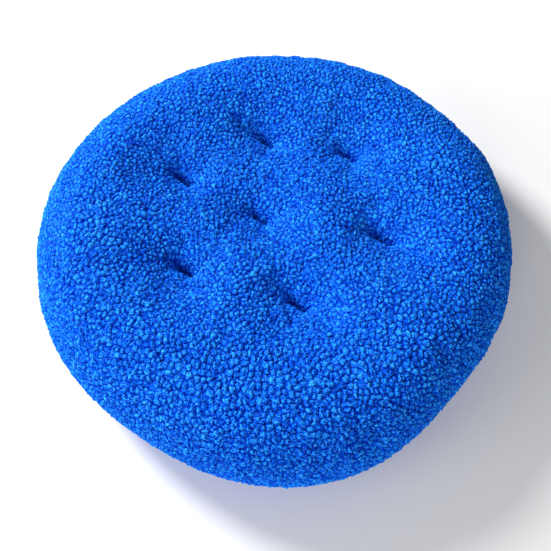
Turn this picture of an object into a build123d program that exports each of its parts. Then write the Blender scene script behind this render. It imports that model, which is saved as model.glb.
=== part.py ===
from build123d import *
from math import cos, radians, sin
import os

# Round tufted seat cushion: two fleece covers sewn together at the rim, a fibre filling between
# them, and seven thread tufts that pull both covers towards each other.
#
# Millimetres. +Z is up, -Y is the front edge. The origin is on the resting plane under the middle.

# The stuffed body
SEAM_RADIUS = 200.0  # middle to the rim seam
CREST_RADIUS = 146.0  # middle to the highest line of the top
HEIGHT = 82.0  # resting plane to the crest
CENTRE_HEIGHT = 76.0  # resting plane to the top in the middle
SEAM_HEIGHT = 36.0  # resting plane to the rim seam

# The covers
FABRIC = 3.0  # thickness of the fleece
SEAM_ALLOWANCE = 12.0  # width of cover turned in behind the rim
SEAM_GROOVE = 1.6  # radius of the crease where the covers turn in

# The filling
FILL_GAP = 0.3  # clearance between the filling and what it touches

# The tufts: where each one is, looking down on the cushion
TUFTS = {
    "centre": (-13, 4),
    "right_back": (64, 67),
    "back": (-9, 84),
    "left_back": (-80, 42),
    "left_front": (-72, -46),
    "front": (16, -75),
    "right_front": (87, -18),
}
TUFT_TURN = -35.0  # degrees from +X to the way the tuft's bar stitch runs
TUFT_BAR = 14.0  # length of the bar stitch
TOP_PIT_FLOOR = 52.0  # height of the top cover under a bar stitch
TOP_PIT_MOUTH = 44.0  # radius where a top pit has flared out to the crest's height
BOTTOM_PIT_FLOOR = 28.0  # height of the bottom cover under a bar stitch
BOTTOM_PIT_MOUTH = 25.0  # radius of a bottom pit in the resting plane
PIT_FLOOR_RADIUS = 9.0
TUFT_THREAD = 0.9  # radius of the bundle of thread in a tuft
TUFT_CORNER = 1.5  # radius where the bundle turns down into the cover
KNOT_WRAPS = 3
KNOT_RADIUS = 1.7  # radius of the middle of a wrap
KNOT_PITCH = 1.4
TAIL_LENGTH = 9.0
TAIL_DROOP = 35.0  # degrees below the bar

# The rim seam
SEAM_THREAD = 0.4  # radius
SEAM_DIP = 0.34  # radius of the thread where it is drawn tight through a stitch hole
SEAM_INSET = 5.0  # from the rim in to the stitches
SEAM_STITCHES = 110
CLOSING_GAP = 36.0  # degrees of the rim left open for stuffing, then closed by hand
CLOSING_MIDDLE = 90.0  # degrees from +X to the middle of that opening
CLOSING_STITCHES = 14
HOLE_CLEARANCE = 0.2  # added to a thread's radius for its hole

STITCH_RADIUS = SEAM_RADIUS - SEAM_INSET
TURN_IN_RADIUS = SEAM_RADIUS - FABRIC - SEAM_ALLOWANCE
RUN_OFFSET = FABRIC + SEAM_THREAD  # from the seam plane to a thread that lies on the turned-in cover


def round_about_z(*edges):
    """The solid that a closed half section of these edges sweeps about Z."""
    return revolve(Plane.XZ * make_face(edges), Axis.Z)


def stuffed_body(inset):
    """The rounded body before it is tufted, with its surface inset mm inside the outer face."""
    rim_width = SEAM_RADIUS - CREST_RADIUS - inset
    rim_centre = (CREST_RADIUS, SEAM_HEIGHT)
    crest = (CREST_RADIUS, HEIGHT - inset)
    middle = (0, CENTRE_HEIGHT - inset)
    return round_about_z(
        EllipticalCenterArc(rim_centre, rim_width, SEAM_HEIGHT - inset, 270, arc_size=90),
        EllipticalCenterArc(rim_centre, rim_width, HEIGHT - SEAM_HEIGHT - inset, 0, arc_size=90),
        Spline(crest, middle, tangents=((-1, 0), (-1, 0))),
        Line(middle, (0, inset)),
        Line((0, inset), (CREST_RADIUS, inset)),
    )


def pit(floor, mouth_radius, mouth, inset):
    """The space that a tuft pulls in, flaring from its floor to its mouth, grown by inset mm.

    It opens upwards when the mouth is above the floor, and downwards when it is below.
    """
    up = 1 if mouth > floor else -1
    low = floor - up * inset
    foot = (PIT_FLOOR_RADIUS + inset, low)
    rim = (mouth_radius + inset, mouth - up * inset)
    outside = mouth + up * HEIGHT
    return round_about_z(
        Line((0, low), foot),
        Spline(foot, rim, tangents=((0.3, up), (1, 0.25 * up))),
        Line(rim, (rim[0], outside)),
        Line((rim[0], outside), (0, outside)),
        Line((0, outside), (0, low)),
    )


def tufted_body(inset):
    """The stuffed body with its pits, its surface inset mm inside the outer face."""
    body = stuffed_body(inset)
    top_pit = pit(TOP_PIT_FLOOR, TOP_PIT_MOUTH, HEIGHT, inset)
    bottom_pit = pit(BOTTOM_PIT_FLOOR, BOTTOM_PIT_MOUTH, 0, inset)
    for x, y in TUFTS.values():
        body -= Pos(x, y) * top_pit
        body -= Pos(x, y) * bottom_pit
    return body


def at_rim(angle, radius, height):
    """A location at this angle, in degrees from +X, on a circle about Z."""
    return Pos(radius * cos(radians(angle)), radius * sin(radians(angle)), height)


def between(start, sweep_angle, steps):
    """Angles from start through sweep_angle, ends included."""
    return [start + sweep_angle * i / steps for i in range(steps + 1)]


def seam_angles():
    """Angles of the machine stitches, which stop at both ends of the stuffing opening."""
    start = CLOSING_MIDDLE + CLOSING_GAP / 2
    return between(start, 360 - CLOSING_GAP, SEAM_STITCHES)


def closing_angles():
    """Angles of the hand stitches across the stuffing opening, clear of the machine stitches."""
    margin = CLOSING_GAP / (CLOSING_STITCHES + 1)
    start = CLOSING_MIDDLE - CLOSING_GAP / 2 + margin
    return between(start, CLOSING_GAP - 2 * margin, CLOSING_STITCHES)


def tuft_places():
    """The location of each tuft, turned so that its local X runs along the bar stitch."""
    return [Pos(x, y) * Rot(0, 0, TUFT_TURN) for x, y in TUFTS.values()]


def tuft_holes(clearance):
    """Upright holes for the two legs of every tuft."""
    leg = Cylinder(TUFT_THREAD + clearance, HEIGHT, align=(Align.CENTER, Align.CENTER, Align.MIN))
    return [place * Pos(side * TUFT_BAR / 2, 0) * leg for place in tuft_places() for side in (-1, 1)]


def seam_holes():
    """Upright holes through both turned-in covers, one for each stitch of the rim."""
    hole = Cylinder(SEAM_THREAD + HOLE_CLEARANCE, 2 * RUN_OFFSET + 2)
    return [at_rim(a, STITCH_RADIUS, SEAM_HEIGHT) * hole for a in seam_angles() + closing_angles()]


def covers():
    """The top and the bottom cover: thin shells that turn in behind the rim and meet there."""
    outer = tufted_body(0)
    shell = outer - tufted_body(FABRIC)
    turn_in = Cylinder(SEAM_RADIUS, 2 * FABRIC) - Cylinder(TURN_IN_RADIUS, 2 * FABRIC)
    shell += (Pos(0, 0, SEAM_HEIGHT) * turn_in) & outer
    shell -= Pos(0, 0, SEAM_HEIGHT) * Torus(SEAM_RADIUS, SEAM_GROOVE)
    shell -= seam_holes()
    shell -= tuft_holes(HOLE_CLEARANCE)
    seam_plane = Plane.XY.offset(SEAM_HEIGHT)
    return split(shell, seam_plane, Keep.TOP), split(shell, seam_plane, Keep.BOTTOM)


def fibre_fill():
    """The filling, one lump, with room for the turned-in covers and a channel for each tuft leg."""
    fill = tufted_body(FABRIC + FILL_GAP)
    room = 2 * (RUN_OFFSET + SEAM_THREAD + FILL_GAP)
    inner = TURN_IN_RADIUS - FILL_GAP
    fill -= Pos(0, 0, SEAM_HEIGHT) * (Cylinder(SEAM_RADIUS, room) - Cylinder(inner, room))
    return fill - tuft_holes(HOLE_CLEARANCE + FILL_GAP)


def seam_thread():
    """The needle thread of the rim's lockstitch. It runs along the turned-in top cover and dips to
    the seam plane at each stitch, where it meets the bobbin thread."""
    angles = seam_angles()
    points = [at_rim(a, STITCH_RADIUS, SEAM_HEIGHT + RUN_OFFSET).position for a in angles]
    path = Polyline(*points)
    start = Plane(origin=path @ 0, z_dir=path % 0)
    run = sweep(start * Circle(SEAM_THREAD), path, transition=Transition.RIGHT)
    dip = Cylinder(SEAM_DIP, RUN_OFFSET)
    dips = [at_rim(a, STITCH_RADIUS, SEAM_HEIGHT + RUN_OFFSET / 2) * dip for a in angles[1:-1]]
    return run.fuse(*dips)


def closing_thread():
    """The hand-sewn running stitch that shuts the stuffing opening: it passes through both
    turned-in covers at each stitch and lies on the upper and the lower one by turns."""
    angles = closing_angles()
    leg = Cylinder(SEAM_THREAD, 2 * RUN_OFFSET)
    corner = Sphere(SEAM_THREAD)
    thread = [at_rim(a, STITCH_RADIUS, SEAM_HEIGHT) * leg for a in angles]
    for i, (a, b) in enumerate(zip(angles, angles[1:])):
        height = SEAM_HEIGHT + (RUN_OFFSET if i % 2 else -RUN_OFFSET)
        line = Line(at_rim(a, STITCH_RADIUS, height).position, at_rim(b, STITCH_RADIUS, height).position)
        thread.append(sweep(Plane(origin=line @ 0, z_dir=line % 0) * Circle(SEAM_THREAD), line))
    for a in angles:
        for side in (-1, 1):
            thread.append(at_rim(a, STITCH_RADIUS, SEAM_HEIGHT + side * RUN_OFFSET) * corner)
    return thread[0].fuse(*thread[1:])


def knot():
    """Wraps about local X with two trimmed tails that droop from them."""
    wrap = Rot(0, 90, 0) * Torus(KNOT_RADIUS, TUFT_THREAD)
    middle = (KNOT_WRAPS - 1) / 2
    wraps = [Pos((i - middle) * KNOT_PITCH, 0, 0) * wrap for i in range(KNOT_WRAPS)]
    tail = Cylinder(TUFT_THREAD * 0.8, TAIL_LENGTH, align=(Align.CENTER, Align.CENTER, Align.MIN))
    tails = [
        Pos(0, side * KNOT_RADIUS, 0) * Rot(-side * (90 + TAIL_DROOP), 0, 0) * tail for side in (-1, 1)
    ]
    return wraps + tails


def tuft_thread():
    """One tuft: a closed loop of thread through both covers and the filling, tied underneath."""
    top = TOP_PIT_FLOOR + TUFT_THREAD + HOLE_CLEARANCE
    bottom = BOTTOM_PIT_FLOOR - KNOT_RADIUS - TUFT_THREAD - HOLE_CLEARANCE
    loop = Plane.XZ * Pos(0, (top + bottom) / 2) * RectangleRounded(
        TUFT_BAR, top - bottom, TUFT_CORNER
    )
    path = loop.face().outer_wire()
    thread = sweep(Plane(origin=path @ 0, z_dir=path % 0) * Circle(TUFT_THREAD), path)
    return thread.fuse(*[Pos(0, 0, bottom) * piece for piece in knot()])


def main():
    os.makedirs("parts", exist_ok=True)
    top_cover, bottom_cover = covers()
    needle_thread = seam_thread()
    nodes = {
        "top_cover": top_cover,
        "bottom_cover": bottom_cover,
        "fibre_fill": fibre_fill(),
        "seam_needle_thread": needle_thread,
        "seam_bobbin_thread": Pos(0, 0, 2 * SEAM_HEIGHT) * Rot(0, 180, 0) * needle_thread,
        "closing_thread": closing_thread(),
    }
    tuft = tuft_thread()
    for name, place in zip(TUFTS, tuft_places()):
        nodes[f"tuft_thread_{name}"] = place * tuft
    for name, shape in nodes.items():
        export_step(shape, f"parts/{name}.step")
        print(name, len(shape.solids()), round(shape.volume))


main()
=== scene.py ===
"""The looks of a round tufted fleece seat cushion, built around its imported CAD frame."""

import bmesh
import bpy
import numpy as np
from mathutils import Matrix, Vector
from mathutils.kdtree import KDTree


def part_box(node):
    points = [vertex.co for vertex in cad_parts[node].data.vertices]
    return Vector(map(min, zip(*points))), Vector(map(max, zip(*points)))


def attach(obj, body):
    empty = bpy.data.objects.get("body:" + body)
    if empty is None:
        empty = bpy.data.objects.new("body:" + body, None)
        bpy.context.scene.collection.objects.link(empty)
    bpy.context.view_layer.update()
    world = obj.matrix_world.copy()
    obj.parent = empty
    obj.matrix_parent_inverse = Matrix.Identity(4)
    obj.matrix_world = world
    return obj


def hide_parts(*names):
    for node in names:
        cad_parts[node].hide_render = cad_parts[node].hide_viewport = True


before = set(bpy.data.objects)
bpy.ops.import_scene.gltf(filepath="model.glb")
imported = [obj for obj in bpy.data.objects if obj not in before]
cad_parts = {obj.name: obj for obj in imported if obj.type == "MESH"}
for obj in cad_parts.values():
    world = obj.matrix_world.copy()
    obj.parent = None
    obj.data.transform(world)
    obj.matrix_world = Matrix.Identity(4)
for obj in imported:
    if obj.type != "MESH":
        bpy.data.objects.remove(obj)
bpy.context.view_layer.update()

MM = 0.001
rng = np.random.default_rng(7)

# ---------------------------------------------------------------- sizes, in metres
TOP_LOW, TOP_HIGH = (np.array(c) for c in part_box("top_cover"))
SEAM_Z = TOP_LOW[2]
CREST_Z = TOP_HIGH[2]
RADIUS = (TOP_HIGH[0] - TOP_LOW[0]) / 2
RIM_RADIUS = RADIUS - 1.8 * MM  # the cloth under the pile
CREST_RADIUS = 0.72 * RADIUS
MIDDLE_Z = CREST_Z - 6.0 * MM
CLOTH_TOP = CREST_Z - 1.0 * MM  # the pile's tips reach the crest
CLOTH_BOTTOM = 1.6 * MM

TUFT_NAMES = sorted(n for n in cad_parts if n.startswith("tuft_thread_"))
TUFT_TURN = np.radians(-35.0)
TUFT_HALF_BAR = 7.0 * MM
BAR_DIRECTION = np.array([np.cos(TUFT_TURN), np.sin(TUFT_TURN)])
TUFT_XY = np.array([[(a + b) / 2 for a, b in zip(*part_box(n))][:2] for n in TUFT_NAMES])
TUFT_TOP_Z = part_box(TUFT_NAMES[0])[1][2]

# Outline in plan: radius over RADIUS as a sum of waves, (turns, cosine part, sine part)
OUTLINE = (
    (1, 0.0001, -0.0028),
    (2, 0.0014, 0.0077),
    (3, -0.0050, 0.0136),
    (4, 0.0092, 0.0047),
    (5, 0.0036, -0.0019),
    (6, -0.0019, -0.0017),
    (7, -0.0016, 0.0023),
    (8, -0.0026, 0.0008),
    (9, -0.0023, 0.0006),
)

FACE_CELLS = 80  # across the square middle patch of a panel
RIM_ROWS = 34  # from that patch out to the seam
SPREAD = 0.09  # evens the cells out between the middle and the rim
SECTION_POINTS = 80  # along each half of the panels' section
SNAP_REACH = 1.9 * MM  # grid points this near a bar are held on it

NUB_SPACING = 3.4 * MM
PILE_HEIGHT = 2.5 * MM
PILE_ROOT = -1.2 * MM
EVENING_ROUNDS = 2
CLOSEST = 0.66  # of the spacing, between two curls' centres at the start
CURL_STRETCH = 1.12  # length over width
CURL_GRAIN = 0.55  # how far a curl is drawn out its own way, from 0 to 1
CLEFT = 0.2  # of the spacing
JOINING = 0.7  # the most that two neighbours can run into each other
WANDER = 0.8 * MM
LEAN = 0.28
STRAND_WIDTH = 2.6 * MM
ROUGHNESS = 0.4 * MM
PILE_FLOOR = 0.3 * MM  # curls below this height are pressed flat by the ground
SEAM_FADE = 2.2 * MM  # the pile reaches its full height this far from the seam
SEAM_PILE = 0.25  # of the full height, right at the seam
SEAM_TUCK = 0.6 * MM  # how far the seam draws the pile's edge in
CLOTH_BACK = 3.4 * MM  # from the cloth's face to the back of the cover
# The turned-in allowance's section, in mm: in from the seam's edge, and up or down from it
ALLOWANCE = ((5.0, 2.9), (12.5, 2.9), (12.5, 0.05))

FILL_DEPTH = 5.5 * MM  # of the filling behind the cloth's face
FILL_CLEAR = 12 * MM  # more than that beside the turned-in allowance
FILL_LUMPS = 9 * MM

CLOTH_FRAMES = 20
FOLD_SHARE = 0.6
FOLD_LIMIT = 7 * MM
BROAD_ROUNDS = 25


# ---------------------------------------------------------------- small maths
def smoothstep(low, high, x):
    t = np.clip((x - low) / (high - low), 0, 1)
    return t * t * (3 - 2 * t)


NOISE_SIZE = 64
NOISE_TABLE = rng.random((NOISE_SIZE,) * 3)
JOIN_TABLE = rng.random(997)


def noise(points, size, shift=0.0):
    """Smooth noise from -1 to 1 at 3-D points, with lumps about size metres across."""
    p = points / size + shift
    cell = np.floor(p).astype(int)
    f = p - cell
    f = f * f * (3 - 2 * f)
    total = 0.0
    for dx in (0, 1):
        for dy in (0, 1):
            for dz in (0, 1):
                value = NOISE_TABLE[tuple(((cell + (dx, dy, dz)) % NOISE_SIZE).T)]
                weight = np.prod(np.where((dx, dy, dz), f, 1 - f), axis=1)
                total = total + value * weight
    return 2 * total - 1


def outline(theta):
    """The plan radius at these angles, over RADIUS."""
    return 1 + sum(c * np.cos(n * theta) + s * np.sin(n * theta) for n, c, s in OUTLINE)


def bar_distance(xy, centre):
    """Distance in plan from each point to the bar of the tuft at centre."""
    d = xy - centre
    along = np.clip(d @ BAR_DIRECTION, -TUFT_HALF_BAR, TUFT_HALF_BAR)
    return np.linalg.norm(d - along[:, None] * BAR_DIRECTION, axis=1)


# ---------------------------------------------------------------- the panels' grid
def panel_grid():
    """One panel's grid, as (s, theta, quads, rings). s runs from 0 in the middle to 1 at the seam.

    A square patch covers the middle and rings of quads run from its outline to the seam.
    """
    n = FACE_CELLS
    t = np.tan(np.pi / 4 * np.linspace(-1, 1, n + 1))
    a, b = np.meshgrid(t, t, indexing="xy")
    a, b = a.ravel(), b.ravel()
    s = np.arctan2(np.hypot(a, b), 1) / (np.pi / 2)
    theta = np.arctan2(b, a)

    def at(i, j):
        return j * (n + 1) + i

    quads = [
        (at(i, j), at(i + 1, j), at(i + 1, j + 1), at(i, j + 1))
        for j in range(n)
        for i in range(n)
    ]
    ring = [at(i, 0) for i in range(n)] + [at(n, j) for j in range(n)]
    ring += [at(n - i, n) for i in range(n)] + [at(0, n - j) for j in range(n)]
    ring_a, ring_b, ring_theta = a[ring], b[ring], theta[ring]
    rings = [ring]
    count = len(s)
    for row in range(1, RIM_ROWS + 1):
        up = np.tan(np.pi / 4 * (1 - row / RIM_ROWS))
        s = np.append(s, np.arctan2(np.hypot(ring_a, ring_b), up) / (np.pi / 2))
        theta = np.append(theta, ring_theta)
        rings.append(list(range(count, count + len(ring))))
        count += len(ring)
    for inner, outer in zip(rings, rings[1:]):
        m = len(inner)
        quads += [(inner[i], outer[i], outer[(i + 1) % m], inner[(i + 1) % m]) for i in range(m)]
    return s + SPREAD * np.sin(np.pi * s), theta, quads, rings


def profile(side):
    """Half section of a panel before tufting, from its middle to the seam: arc length, r and z."""
    middle, crest = (MIDDLE_Z, CLOTH_TOP) if side > 0 else (CLOTH_BOTTOM, CLOTH_BOTTOM)
    r = np.linspace(0, CREST_RADIUS, SECTION_POINTS)
    z = middle + (crest - middle) * smoothstep(0, CREST_RADIUS, r)
    a = np.linspace(np.pi / 2, 0, SECTION_POINTS)[1:]
    r = np.append(r, CREST_RADIUS + (RIM_RADIUS - CREST_RADIUS) * np.cos(a))
    z = np.append(z, SEAM_Z + (crest - SEAM_Z) * np.sin(a))
    length = np.append(0, np.cumsum(np.hypot(np.diff(r), np.diff(z))))
    return length / length[-1], r, z


# Each tuft sinks a wide soft dish into the panel, with a narrow crease along its bar
TOP_PIT = dict(
    floor=TUFT_TOP_Z - 1.0 * MM, dish=15 * MM, dish_reach=31 * MM, crease_reach=5.0 * MM
)
BOTTOM_PIT = dict(floor=27 * MM, dish=9 * MM, dish_reach=20 * MM, crease_reach=6.5 * MM)
CREASE_DEPTH = 3.0 * MM  # the cloth is drawn in this much further right under a bar
CREASE_WIDTH = 2.2 * MM
GATHER_HEIGHT = 0.9 * MM  # of the small radial puckers that the seam leaves in the rim
GATHER_WIDTH = 11 * MM


def stuffed_panel(side, s, theta):
    """The panel as it is laid over the filling, pulled in at each tuft."""
    length, r, z = profile(side)
    radius = np.interp(s, length, r)
    height = np.interp(s, length, z)
    radius = radius * (1 + (outline(theta) - 1) * s**2)
    xy = radius[:, None] * np.stack([np.cos(theta), np.sin(theta)], axis=1)
    pit = TOP_PIT if side > 0 else BOTTOM_PIT
    for centre in TUFT_XY:
        away = bar_distance(xy, centre)
        height -= side * pit["dish"] * np.exp(-((away / pit["dish_reach"]) ** 2))
    open_share = np.ones(len(s))
    for centre in TUFT_XY:
        away = bar_distance(xy, centre)
        open_share *= 1 - np.exp(-((away / pit["crease_reach"]) ** 1.5))
    height = pit["floor"] + (height - pit["floor"]) * open_share
    return np.column_stack([xy, height])


def snap_to_bars(points, floor):
    """Moves the points nearest each tuft's bar onto it, and returns their indices."""
    pinned = []
    for centre in TUFT_XY:
        d = points[:, :2] - centre
        near = np.flatnonzero(bar_distance(points[:, :2], centre) < SNAP_REACH)
        along = np.clip(d[near] @ BAR_DIRECTION, -TUFT_HALF_BAR, TUFT_HALF_BAR)
        points[near, :2] = centre + along[:, None] * BAR_DIRECTION
        points[near, 2] = floor
        pinned += near.tolist()
    return pinned


# ---------------------------------------------------------------- mesh helpers
def add_mesh(name, points, faces):
    mesh = bpy.data.meshes.new(name)
    mesh.from_pydata(np.asarray(points).tolist(), [], faces)
    mesh.update()
    obj = bpy.data.objects.new(name, mesh)
    bpy.context.scene.collection.objects.link(obj)
    return obj


def coordinates(mesh):
    out = np.empty(3 * len(mesh.vertices))
    mesh.vertices.foreach_get("co", out)
    return out.reshape(-1, 3)


def evaluated(obj):
    """A plain copy of the mesh that obj's modifiers make."""
    deps = bpy.context.evaluated_depsgraph_get()
    return bpy.data.meshes.new_from_object(obj.evaluated_get(deps))


def smoothed(values, quads, rounds):
    """Each row of values averaged with its neighbours', over and over."""
    quads = np.asarray(quads)
    a = quads.ravel()
    b = np.roll(quads, -1, axis=1).ravel()
    count = np.bincount(a, minlength=len(values))[:, None]
    for _ in range(rounds):
        near = [np.bincount(a, weights=column[b], minlength=len(values)) for column in values.T]
        values = 0.5 * values + 0.5 * np.stack(near, axis=1) / count
    return values


def inflate(points, quads, pinned):
    """The cover with the folds of a cloth simulation, held at the tufts and blown up.
    """
    obj = add_mesh("cover_cloth", points, quads)
    obj.vertex_groups.new(name="held").add(pinned, 1.0, "ADD")
    cloth = obj.modifiers.new("cloth", "CLOTH")
    settings = cloth.settings
    settings.quality = 5
    settings.mass = 0.25
    settings.tension_stiffness = 25
    settings.compression_stiffness = 8
    settings.shear_stiffness = 5
    settings.bending_stiffness = 0.3
    settings.use_pressure = True
    settings.uniform_pressure_force = 2.5
    settings.vertex_group_mass = "held"
    settings.shrink_min = -0.03
    settings.effector_weights.gravity = 0
    cloth.point_cache.frame_start = 1
    cloth.point_cache.frame_end = CLOTH_FRAMES
    scene = bpy.context.scene
    for number in range(1, CLOTH_FRAMES + 1):
        scene.frame_set(number)
    result = coordinates(evaluated(obj))
    scene.frame_set(1)
    bpy.data.objects.remove(obj)
    move = result - points
    # The filling decides the broad shape, so only the cloth's folds and puckers are kept.
    broad = smoothed(move, quads, BROAD_ROUNDS)
    folds = FOLD_SHARE * (move - broad)
    size = np.linalg.norm(folds, axis=1, keepdims=True)
    shrink = FOLD_LIMIT * np.tanh(size / FOLD_LIMIT) / np.maximum(size, 1e-9)
    return points + folds * shrink


# ---------------------------------------------------------------- the pile
def vertex_normals(points, quads):
    quads = np.asarray(quads)
    a, b, c, d = (points[quads[:, i]] for i in range(4))
    face = np.cross(c - a, d - b)
    out = np.zeros_like(points)
    for i in range(4):
        np.add.at(out, quads[:, i], face)
    return out / np.maximum(np.linalg.norm(out, axis=1, keepdims=True), 1e-12)


def stretched(points):
    """Places in which a curl is as long as it is wide."""
    return points * (1, 1 / CURL_STRETCH, 1)


def tree_of(points):
    tree = KDTree(len(points))
    for i, p in enumerate(points):
        tree.insert(p, i)
    tree.balance()
    return tree


def nub_centres(places):
    """Evenly spread centres for the curls of the pile, picked from places on the cloth."""
    cells = np.floor(places / NUB_SPACING).astype(np.int64)
    key = (cells[:, 0] * 73856093) ^ (cells[:, 1] * 19349663) ^ (cells[:, 2] * 83492791)
    order = rng.permutation(len(places))
    _, first = np.unique(key[order], return_index=True)
    centres = places[order[first]]
    tree = tree_of(centres)
    keep = np.ones(len(centres), bool)
    for i, c in enumerate(centres):
        if keep[i]:
            for _, j, _ in tree.find_range(c, CLOSEST * NUB_SPACING):
                if j > i:
                    keep[j] = False
    centres = centres[keep]
    for _ in range(EVENING_ROUNDS):
        tree = tree_of(centres)
        nearest = np.array([tree.find(p)[1] for p in places[::2]])
        count = np.bincount(nearest, minlength=len(centres))
        total = [np.bincount(nearest, weights=c, minlength=len(centres)) for c in places[::2].T]
        moved = np.stack(total, axis=1) / np.maximum(count, 1)[:, None]
        centres = np.where(count[:, None] > 0, moved, centres)
    return centres


def pile_height(places, centres):
    """Height of the curls at each place from 0 to 1, and which curl it belongs to.

    Each curl is a lump, longer one way than across, with a narrow cleft between it and the next.
    """
    tree = tree_of(centres)
    near = np.array([[j for _, j, _ in tree.find_n(p, 6)] for p in places])
    size = rng.uniform(0.8, 1.2, len(centres))
    tall = rng.uniform(0.75, 1.0, len(centres))
    way = rng.normal(size=(len(centres), 3))
    way /= np.linalg.norm(way, axis=1, keepdims=True)
    apart = places[:, None] - centres[near]
    along = np.sum(apart * way[near], axis=2)
    distance = np.sqrt(np.sum(apart**2, axis=2) - CURL_GRAIN * along**2)
    distance = distance / size[near] / NUB_SPACING
    order = np.argsort(distance, axis=1)[:, :2]
    rows = np.arange(len(places))
    first, second = distance[rows, order[:, 0]], distance[rows, order[:, 1]]
    owner = near[rows, order[:, 0]]
    # Some neighbours run into each other, so their cleft is only a dent.
    other = near[rows, order[:, 1]]
    joined = JOINING * JOIN_TABLE[(owner + other) % len(JOIN_TABLE)] ** 2
    cleft = joined + (1 - joined) * (1 - np.exp(-(((second - first) / CLEFT) ** 1.3)))
    return tall[owner] * (1 - 0.5 * first**2) * cleft, owner


def main_cover():
    """Both panels joined at the rim and given the cloth's folds, on the coarse grid."""
    s, theta, quads, rings = panel_grid()
    per_panel = len(s)
    rim = rings[-1]
    top = stuffed_panel(1, s, theta)
    bottom = stuffed_panel(-1, s, theta)
    # The bottom panel's own vertices follow the top's, and it shares the top's rim.
    index = np.arange(per_panel) + per_panel
    index[rim] = rim
    points = np.vstack([top, bottom])
    flipped = [tuple(index[v] for v in reversed(q)) for q in quads]
    pinned = snap_to_bars(points[:per_panel], TOP_PIT["floor"])
    pinned += [i + per_panel for i in snap_to_bars(points[per_panel:], BOTTOM_PIT["floor"])]
    used = np.setdiff1d(np.arange(2 * per_panel), np.asarray(rim) + per_panel)
    renumber = np.full(2 * per_panel, -1)
    renumber[used] = np.arange(len(used))
    all_quads = [tuple(int(renumber[v]) for v in q) for q in quads + flipped]
    shape = inflate(points[used], all_quads, [int(renumber[i]) for i in pinned if renumber[i] >= 0])
    points = np.empty_like(points)
    points[used] = shape
    points[np.asarray(rim) + per_panel] = points[rim]
    cover = dict(points=shape, quads=all_quads)
    return points[:per_panel], points[per_panel:], quads, rings, cover


def subdivide(name, points, quads):
    """The fine grid that carries the pile: its points and quads."""
    obj = add_mesh(name, points, quads)
    levels = obj.modifiers.new("round", "SUBSURF")
    levels.levels = 2
    levels.render_levels = 2
    mesh = evaluated(obj)
    bpy.data.objects.remove(obj)
    fine = coordinates(mesh)
    loops = np.empty(len(mesh.loops), int)
    mesh.loops.foreach_get("vertex_index", loops)
    return fine, loops.reshape(-1, 4)


def rim_walk(quads, start, second):
    """The open edge of the fine grid in order, from one corner towards another."""
    edges = np.sort(np.vstack([quads[:, [i, (i + 1) % 4]] for i in range(4)]), axis=1)
    edges, count = np.unique(edges, axis=0, return_counts=True)
    following = {}
    for a, b in edges[count == 1]:
        following.setdefault(int(a), []).append(int(b))
        following.setdefault(int(b), []).append(int(a))
    for direction in (0, 1):
        walk = [start, following[start][direction]]
        while len(walk) < 6 and second not in walk:
            walk.append(next(v for v in following[walk[-1]] if v != walk[-2]))
        if second in walk:
            break
    while True:
        step = next(v for v in following[walk[-1]] if v != walk[-2])
        if step == start:
            return walk
        walk.append(step)


def gathers(points, side):
    """Height of the puckers, which run inwards from the seam and fade before the crest."""
    from_middle = np.linalg.norm(points[:, :2], axis=1, keepdims=True)
    on_rim = RADIUS * points[:, :2] / np.maximum(from_middle, MM)
    on_rim = np.column_stack([on_rim, np.full(len(points), side * SEAM_Z)])
    to_seam = np.abs(points[:, 2] - SEAM_Z)
    share = smoothstep(0.80 * RADIUS, 0.94 * RADIUS, from_middle[:, 0])
    share = share * smoothstep(1 * MM, 8 * MM, to_seam)
    return GATHER_HEIGHT * share * noise(on_rim, GATHER_WIDTH)


def build_panels():
    """Each panel's cloth on the fine grid, with the creases and the rim's puckers."""
    top, bottom, quads, rings, cover = main_cover()
    panels = {}
    for side, points in ((1, top), (-1, bottom)):
        own = quads if side > 0 else [tuple(reversed(q)) for q in quads]
        fine, fine_quads = subdivide("panel", points, own)
        for centre in TUFT_XY:
            drawn = np.exp(-((bar_distance(fine[:, :2], centre) / CREASE_WIDTH) ** 2))
            fine[:, 2] -= side * CREASE_DEPTH * drawn
        fine += vertex_normals(fine, fine_quads) * gathers(fine, side)[:, None]
        walk = rim_walk(fine_quads, rings[-1][0], rings[-1][1])
        panels[side] = dict(coarse=points, fine=fine, quads=fine_quads, rim=walk, own=own)
    return panels, rings, cover


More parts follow.
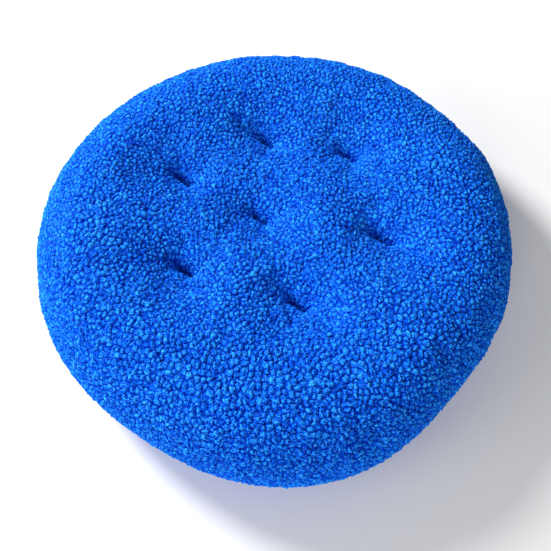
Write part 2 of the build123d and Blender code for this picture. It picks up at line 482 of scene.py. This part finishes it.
def grow_pile(panels):
    """Raises the curls of both panels' pile in one go, so that they meet at the seam."""
    fine = [panels[side]["fine"] for side in (1, -1)]
    split = len(fine[0])
    cloth = np.vstack(fine)
    normals = np.vstack(
        [vertex_normals(panels[side]["fine"], panels[side]["quads"]) for side in (1, -1)]
    )
    places = stretched(cloth)
    centres = nub_centres(places)
    lean = rng.normal(0, LEAN, (len(centres), 3))
    wander = np.column_stack([noise(places, 2.2 * MM, k) for k in (0.0, 17.3, 31.7)])
    height, owner = pile_height(places + WANDER * wander, centres)
    # A winding valley splits each curl into strands.
    strand = smoothstep(0.0, 0.2, np.abs(noise(places, STRAND_WIDTH, 5.1)))
    height = height * (0.55 + 0.45 * strand)
    rim_gap = np.abs(cloth[:, 2] - SEAM_Z)
    at_seam = smoothstep(0.0, SEAM_FADE, rim_gap)
    lift = (PILE_ROOT + PILE_HEIGHT * height) * (SEAM_PILE + (1 - SEAM_PILE) * at_seam)
    lift += ROUGHNESS * noise(places, 1.8 * MM, 9.7) * at_seam
    lateral = lean[owner] - np.sum(lean[owner] * normals, axis=1, keepdims=True) * normals
    sideways = (PILE_HEIGHT * height * at_seam)[:, None]
    grown = cloth + normals * lift[:, None] + lateral * sideways * 0.6
    pressed = PILE_FLOOR + 0.05 * (grown[:, 2] - PILE_FLOOR)
    grown[:, 2] = np.where(grown[:, 2] < PILE_FLOOR, pressed, grown[:, 2])
    grown[:, 2] = np.maximum(grown[:, 2], 0.05 * MM)
    tint = rng.random(len(centres))[owner]
    for side, part in ((1, slice(0, split)), (-1, slice(split, None))):
        panels[side].update(
            grown=grown[part], pile=height[part], tint=tint[part], normals=normals[part]
        )
    top_rim, bottom_rim = panels[1]["rim"], panels[-1]["rim"]
    shared = panels[1]["fine"][top_rim]
    radial = shared[:, :2] / np.linalg.norm(shared[:, :2], axis=1, keepdims=True)
    shared[:, :2] -= SEAM_TUCK * radial
    for side, rim in ((1, top_rim), (-1, bottom_rim)):
        panels[side]["grown"][rim] = shared + (0, 0, side * 0.02 * MM)


def fleece_shell(name, panel, side, rings):
    """Closes a panel's pile with the cloth's back and the allowance turned in behind the seam."""
    grown, rim = panel["grown"], panel["rim"]
    count = len(panel["coarse"])
    back = panel["fine"][:count] - CLOTH_BACK * panel["normals"][:count]
    m = len(rings[0])
    kept = np.setdiff1d(np.arange(count), rings[-1] + rings[-2])
    renumber = np.full(count, -1)
    renumber[kept] = np.arange(len(kept)) + len(grown)
    points = np.vstack([grown, back[kept]])
    faces = [tuple(q) for q in panel["quads"].tolist()]
    inside = [q for q in panel["own"] if all(renumber[v] >= 0 for v in q)]
    faces += [tuple(int(renumber[v]) for v in reversed(q)) for q in inside]
    edge = panel["fine"][rings[-1]]
    radial = edge[:, :2] / np.linalg.norm(edge[:, :2], axis=1, keepdims=True)
    loops = [[int(renumber[v]) for v in rings[-3]]]
    for inward, up in ALLOWANCE:
        loop = edge.copy()
        loop[:, :2] -= inward * MM * radial
        loop[:, 2] = SEAM_Z + side * up * MM
        loops.append(list(range(len(points), len(points) + m)))
        points = np.vstack([points, loop])
    for inner, outer in zip(loops, loops[1:]):
        faces += [(inner[i], outer[i], outer[(i + 1) % m], inner[(i + 1) % m]) for i in range(m)]
    last, step = loops[-1], len(rim) // m
    for i in range(m):
        chain = [rim[(i * step + k) % len(rim)] for k in range(step + 1)]
        half = step // 2
        a, b = last[i], last[(i + 1) % m]
        faces += [(a, chain[k], chain[k + 1]) for k in range(half)]
        faces += [(a, chain[half], b)]
        faces += [(b, chain[k], chain[k + 1]) for k in range(half, step)]
    obj = add_mesh(name, points, faces)
    bm = bmesh.new()
    bm.from_mesh(obj.data)
    bmesh.ops.recalc_face_normals(bm, faces=bm.faces)
    bm.to_mesh(obj.data)
    bm.free()
    for key in ("pile", "tint"):
        layer = obj.data.attributes.new(key, "FLOAT", "POINT")
        values = np.append(panel[key], np.zeros(len(points) - len(grown)))
        layer.data.foreach_set("value", values)
    obj.data.polygons.foreach_set("use_smooth", np.ones(len(obj.data.polygons), bool))
    return obj


def batting(cover):
    """The filling: one lump of fibre behind the cloth, clear of the turned-in allowance."""
    points, quads = cover["points"], np.asarray(cover["quads"])
    normals = vertex_normals(points, quads)
    theta = np.arctan2(points[:, 1], points[:, 0])
    reach = np.linalg.norm(points[:, :2], axis=1) / outline(theta)
    to_seam = np.hypot(points[:, 2] - SEAM_Z, RIM_RADIUS - reach)
    depth = FILL_DEPTH + FILL_CLEAR * (1 - smoothstep(4 * MM, 24 * MM, to_seam))
    for centre in TUFT_XY:
        away = bar_distance(points[:, :2], centre)
        depth += CREASE_DEPTH * np.exp(-((away / (4 * MM)) ** 2))
    inner = points - normals * depth[:, None]
    inner += normals * 0.8 * MM * noise(points, FILL_LUMPS)[:, None]
    inner = smoothed(inner, quads, 6)
    for pit, side in ((TOP_PIT, 1), (BOTTOM_PIT, -1)):
        own = side * normals[:, 2] > 0
        for centre in TUFT_XY:
            apart = np.maximum(bar_distance(inner[own, :2], centre) - 5 * MM, 0)
            rise = 40 * MM * (1 - np.exp(-((apart / (8 * MM)) ** 1.5)))
            sunk = pit["floor"] + side * (rise - 6 * MM)
            inner[own, 2] = side * np.minimum(side * inner[own, 2], side * sunk)
    obj = add_mesh("fibre_batting", inner, [tuple(q) for q in quads.tolist()])
    obj.data.polygons.foreach_set("use_smooth", np.ones(len(quads), bool))
    return obj


def rim_thread(name, node):
    """A rim seam's thread, drawn in and out with the stuffed cover's uneven outline."""
    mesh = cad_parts[node].data.copy()
    mesh.name = name
    mesh.materials.clear()
    points = coordinates(mesh)
    theta = np.arctan2(points[:, 1], points[:, 0])
    points[:, :2] *= (outline(theta) * RIM_RADIUS / RADIUS)[:, None]
    mesh.vertices.foreach_set("co", points.ravel())
    mesh.update()
    obj = bpy.data.objects.new(name, mesh)
    bpy.context.scene.collection.objects.link(obj)
    return obj


# ---------------------------------------------------------------- materials
def new_material(name):
    material = bpy.data.materials.new(name)
    material.use_nodes = True
    nodes = material.node_tree.nodes
    return material, nodes, material.node_tree.links, nodes["Principled BSDF"]


def ramp(nodes, stops):
    node = nodes.new("ShaderNodeValToRGB")
    elements = node.color_ramp.elements
    while len(elements) < len(stops):
        elements.new(0.5)
    for element, (place, colour) in zip(elements, stops):
        element.position = place
        element.color = (*colour, 1)
    return node


def attribute(nodes, name):
    node = nodes.new("ShaderNodeAttribute")
    node.attribute_name = name
    return node.outputs["Fac"]


def noise_texture(nodes, links, place, **values):
    node = nodes.new("ShaderNodeTexNoise")
    for key, value in values.items():
        node.inputs[key].default_value = value
    links.new(place.outputs["Object"], node.inputs["Vector"])
    return node.outputs["Fac"]


def math(nodes, links, operation, *values):
    """A maths node; each value is a number or an output to link."""
    node = nodes.new("ShaderNodeMath")
    node.operation = operation
    for socket, value in zip(node.inputs, values):
        if isinstance(value, (int, float)):
            socket.default_value = value
        else:
            links.new(value, socket)
    return node.outputs[0]


def add_bump(nodes, links, shader, height, strength, distance):
    bump = nodes.new("ShaderNodeBump")
    bump.inputs["Strength"].default_value = strength
    bump.inputs["Distance"].default_value = distance
    links.new(height, bump.inputs["Height"])
    links.new(bump.outputs["Normal"], shader.inputs["Normal"])


def fleece_material():
    material, nodes, links, shader = new_material("fleece_pile")
    pile, tint = attribute(nodes, "pile"), attribute(nodes, "tint")
    place = nodes.new("ShaderNodeTexCoord")
    curls = noise_texture(nodes, links, place, Scale=1000, Detail=2, Roughness=0.7)
    drift = noise_texture(nodes, links, place, Scale=45, Detail=2)
    # height on the pile, roughened by the fibres, picks the colour: painted shade in the clefts
    # between curls, painted highlight on their tips
    level = math(nodes, links, "MULTIPLY_ADD", curls, 3.2, pile)
    shift = math(nodes, links, "SUBTRACT", level, 1.63)
    colour = ramp(nodes, (
        (0.0, (0.0001, 0.003, 0.21)),
        (0.45, (0.0002, 0.064, 0.74)),
        (0.75, (0.0015, 0.155, 0.95)),
        (1.0, (0.035, 0.44, 0.98)),
    ))
    links.new(shift, colour.inputs["Fac"])
    value = math(nodes, links, "MULTIPLY_ADD", tint, 0.16, 0.92)
    slow = math(nodes, links, "MULTIPLY_ADD", drift, 0.1, 0.95)
    both = math(nodes, links, "MULTIPLY", value, slow)
    shade = nodes.new("ShaderNodeMix")
    shade.data_type = "RGBA"
    shade.blend_type = "MULTIPLY"
    shade.inputs["Factor"].default_value = 1
    # painted glints: bright specks painted into the colour where single fibres would catch the
    # light
    glint = noise_texture(nodes, links, place, Scale=1500, Detail=1)
    bright = ramp(nodes, ((0.66, (0.0,) * 3), (0.80, (1.0,) * 3)))
    links.new(glint, bright.inputs["Fac"])
    fibre = nodes.new("ShaderNodeMix")
    fibre.data_type = "RGBA"
    links.new(bright.outputs["Color"], fibre.inputs["Factor"])
    links.new(colour.outputs["Color"], fibre.inputs["A"])
    # the painted highlight colour of the glints
    fibre.inputs["B"].default_value = (0.20, 0.55, 1.0, 1)
    links.new(fibre.outputs["Result"], shade.inputs["A"])
    links.new(both, shade.inputs["B"])
    links.new(shade.outputs["Result"], shader.inputs["Base Color"])
    add_bump(nodes, links, shader, curls, 0.8, 1.0 * MM)
    rough = ramp(nodes, ((0.3, (0.75,) * 3), (0.7, (0.95,) * 3)))
    links.new(curls, rough.inputs["Fac"])
    links.new(rough.outputs["Color"], shader.inputs["Roughness"])
    shader.inputs["Specular IOR Level"].default_value = 0.02
    shader.inputs["Sheen Weight"].default_value = 0.12
    shader.inputs["Sheen Roughness"].default_value = 0.4
    shader.inputs["Sheen Tint"].default_value = (0.03, 0.5, 1.0, 1)
    return material


def thread_material(name, dark, light, scale):
    material, nodes, links, shader = new_material(name)
    place = nodes.new("ShaderNodeTexCoord")
    fibre = noise_texture(nodes, links, place, Scale=scale, Detail=4, Distortion=1.5)
    colour = ramp(nodes, ((0.3, dark), (0.7, light)))
    links.new(fibre, colour.inputs["Fac"])
    links.new(colour.outputs["Color"], shader.inputs["Base Color"])
    add_bump(nodes, links, shader, fibre, 0.5, 0.2 * MM)
    shader.inputs["Roughness"].default_value = 0.7
    shader.inputs["Specular IOR Level"].default_value = 0.03
    return material


# ---------------------------------------------------------------- build
panels, rings, cover = build_panels()
grow_pile(panels)
fleece = fleece_material()
for name, side, node in (("top_fleece", 1, "top_cover"), ("bottom_fleece", -1, "bottom_cover")):
    piece = fleece_shell(name, panels[side], side, rings)
    piece.data.materials.append(fleece)
    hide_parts(node)
    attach(piece, "root")

fill = batting(cover)
fill.data.materials.append(
    thread_material("fibre", (0.72, 0.72, 0.70), (0.86, 0.86, 0.85), 700)
)
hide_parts("fibre_fill")
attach(fill, "root")

sewing = thread_material(
    "sewing_thread", (0.0002, 0.012, 0.16), (0.001, 0.03, 0.3), 4000
)
for name in TUFT_NAMES:
    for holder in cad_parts[name].material_slots:
        holder.material = sewing
for name, node in (
    ("needle_stitches", "seam_needle_thread"),
    ("bobbin_stitches", "seam_bobbin_thread"),
    ("closing_stitches", "closing_thread"),
):
    stitches = rim_thread(name, node)
    stitches.data.materials.append(sewing)
    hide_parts(node)
    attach(stitches, "root")


# ---------------------------------------------------------------- floor, light and camera
def area_light(name, place, target, size, power):
    data = bpy.data.lights.new(name, "AREA")
    data.shape = "DISK"
    data.size = size
    data.energy = power
    lamp = bpy.data.objects.new(name, data)
    lamp.location = place
    aim = Vector(target) - Vector(place)
    lamp.rotation_euler = aim.to_track_quat("-Z", "Y").to_euler()
    bpy.context.scene.collection.objects.link(lamp)


corners = [(-4, -4, 0), (4, -4, 0), (4, 4, 0), (-4, 4, 0)]
floor = add_mesh("floor", corners, [(0, 1, 2, 3)])
white, _, _, shader = new_material("floor_white")
shader.inputs["Base Color"].default_value = (0.92, 0.92, 0.92, 1)
shader.inputs["Roughness"].default_value = 0.9
floor.data.materials.append(white)

scene = bpy.context.scene
world = bpy.data.worlds.new("studio")
scene.world = world
world.use_nodes = True
world.node_tree.nodes["Background"].inputs["Color"].default_value = (1, 1, 1, 1)
world.node_tree.nodes["Background"].inputs["Strength"].default_value = 0.36
MIDDLE = (0, 0, 0.04)
area_light("key", (-1.15, 0.88, 0.95), MIDDLE, 0.5, 43)
area_light("left_fill", (-1.7, -0.7, 0.8), MIDDLE, 1.0, 9)
area_light("front_fill", (-0.5, -1.6, 0.6), MIDDLE, 1.0, 14)

camera = bpy.data.objects.new("camera", bpy.data.cameras.new("camera"))
camera.data.sensor_width = 36
camera.data.lens = 36.09
camera.data.clip_start = 0.01
camera.location = (0, -0.2455, 0.4465)
aim = Vector((0, -0.0205, 0)) - camera.location
camera.rotation_euler = aim.to_track_quat("-Z", "Y").to_euler()
scene.collection.objects.link(camera)
scene.camera = camera
scene.view_settings.view_transform = "Standard"
